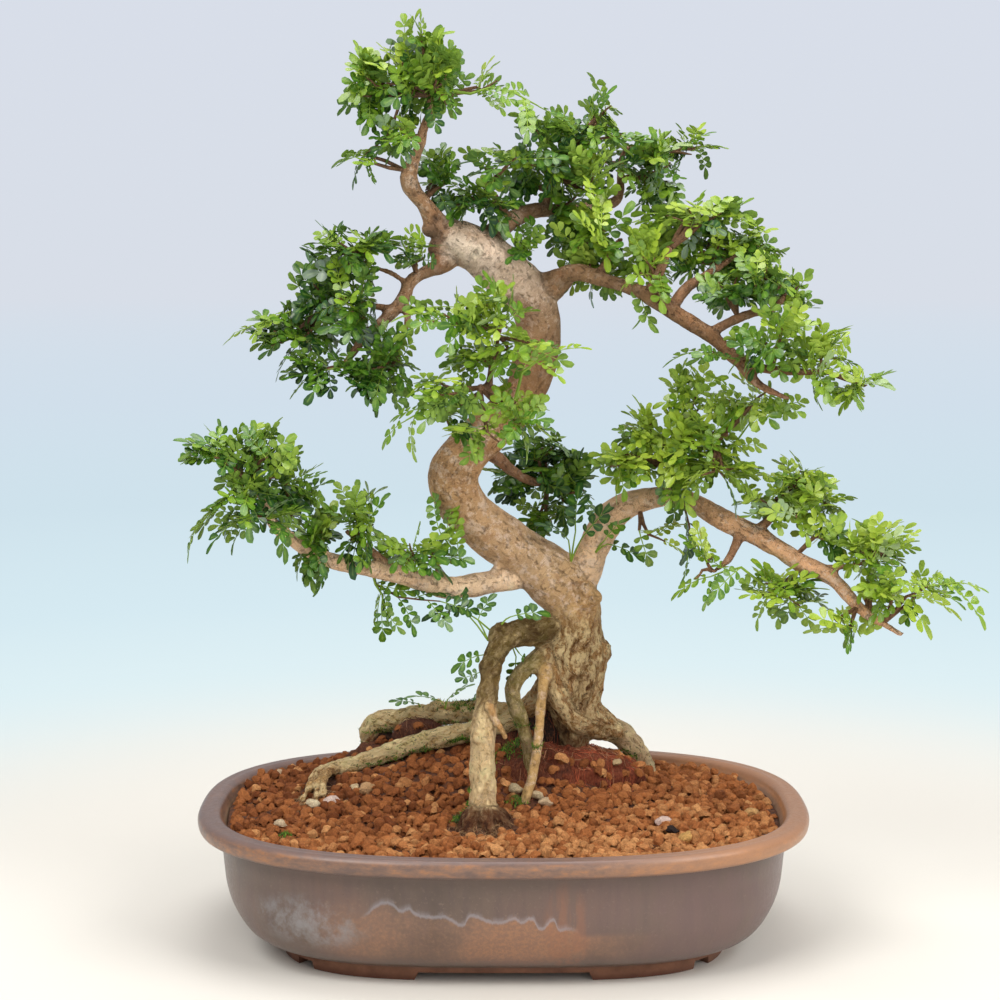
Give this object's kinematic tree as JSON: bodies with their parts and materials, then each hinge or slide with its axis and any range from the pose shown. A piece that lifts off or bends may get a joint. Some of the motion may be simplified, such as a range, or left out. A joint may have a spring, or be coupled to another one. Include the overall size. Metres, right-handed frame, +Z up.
{
  "type": "chinese pepper bonsai in an oval tray",
  "caption": "Chinese pepper bonsai with a twisting pale trunk, bared roots and sprays of small feathery leaves, in red-brown grain soil in an oval glazed tray on low feet.",
  "frame": {"origin": "on the surface that the tray stands on, under the middle of the whole tree's box", "axes": "+X to the tray's long right end as seen from the tree's front, +Y to the back, +Z up"},
  "size_m": [0.5458, 0.3218, 0.622],
  "materials": {
    "glazed_tray": "brown-grey satin glaze with an orange-brown rim and a bare dark clay foot",
    "grain_soil": "matt fired clay grains, red-brown to tan",
    "bark": "matt pale beige bark, furrowed and darker on the roots",
    "leaves": "glossy green leaf",
    "mesh_plastic": "matt black",
    "clip_wire": "dull drawn wire"
  },
  "bodies": {
    "root": {"tray": "glazed_tray", "soil": "grain_soil", "wood": "bark", "drainage_mesh_left": "mesh_plastic", "drainage_mesh_right": "mesh_plastic", "mesh_clip_left": "clip_wire", "mesh_clip_right": "clip_wire", "spray_apex": "leaves", "spray_upper_back_left": "leaves", "spray_upper_back_right": "leaves", "spray_upper_back_low": "leaves", "spray_upper_right_near": "leaves", "spray_upper_right_top": "leaves", "spray_upper_right_back": "leaves", "spray_upper_right_end": "leaves", "spray_right_tip": "leaves", "spray_right_tip_low": "leaves", "spray_right_middle": "leaves", "spray_right_middle_side": "leaves", "spray_right_low_top": "leaves", "spray_right_low_under": "leaves", "spray_right_low_fork": "leaves", "spray_right_low_end": "leaves", "spray_right_low_back": "leaves", "spray_left_low_tip": "leaves", "spray_left_low_side": "leaves", "spray_left_low_fork": "leaves", "spray_left_low_twig": "leaves", "spray_upper_left_top": "leaves", "spray_upper_left_fork": "leaves", "spray_upper_left_low": "leaves", "spray_upper_left_twig": "leaves", "spray_front": "leaves", "spray_front_top": "leaves", "spray_back_middle": "leaves", "sprig_root_arch": "leaves", "sprig_fork": "leaves"}
  },
  "joints": []
}
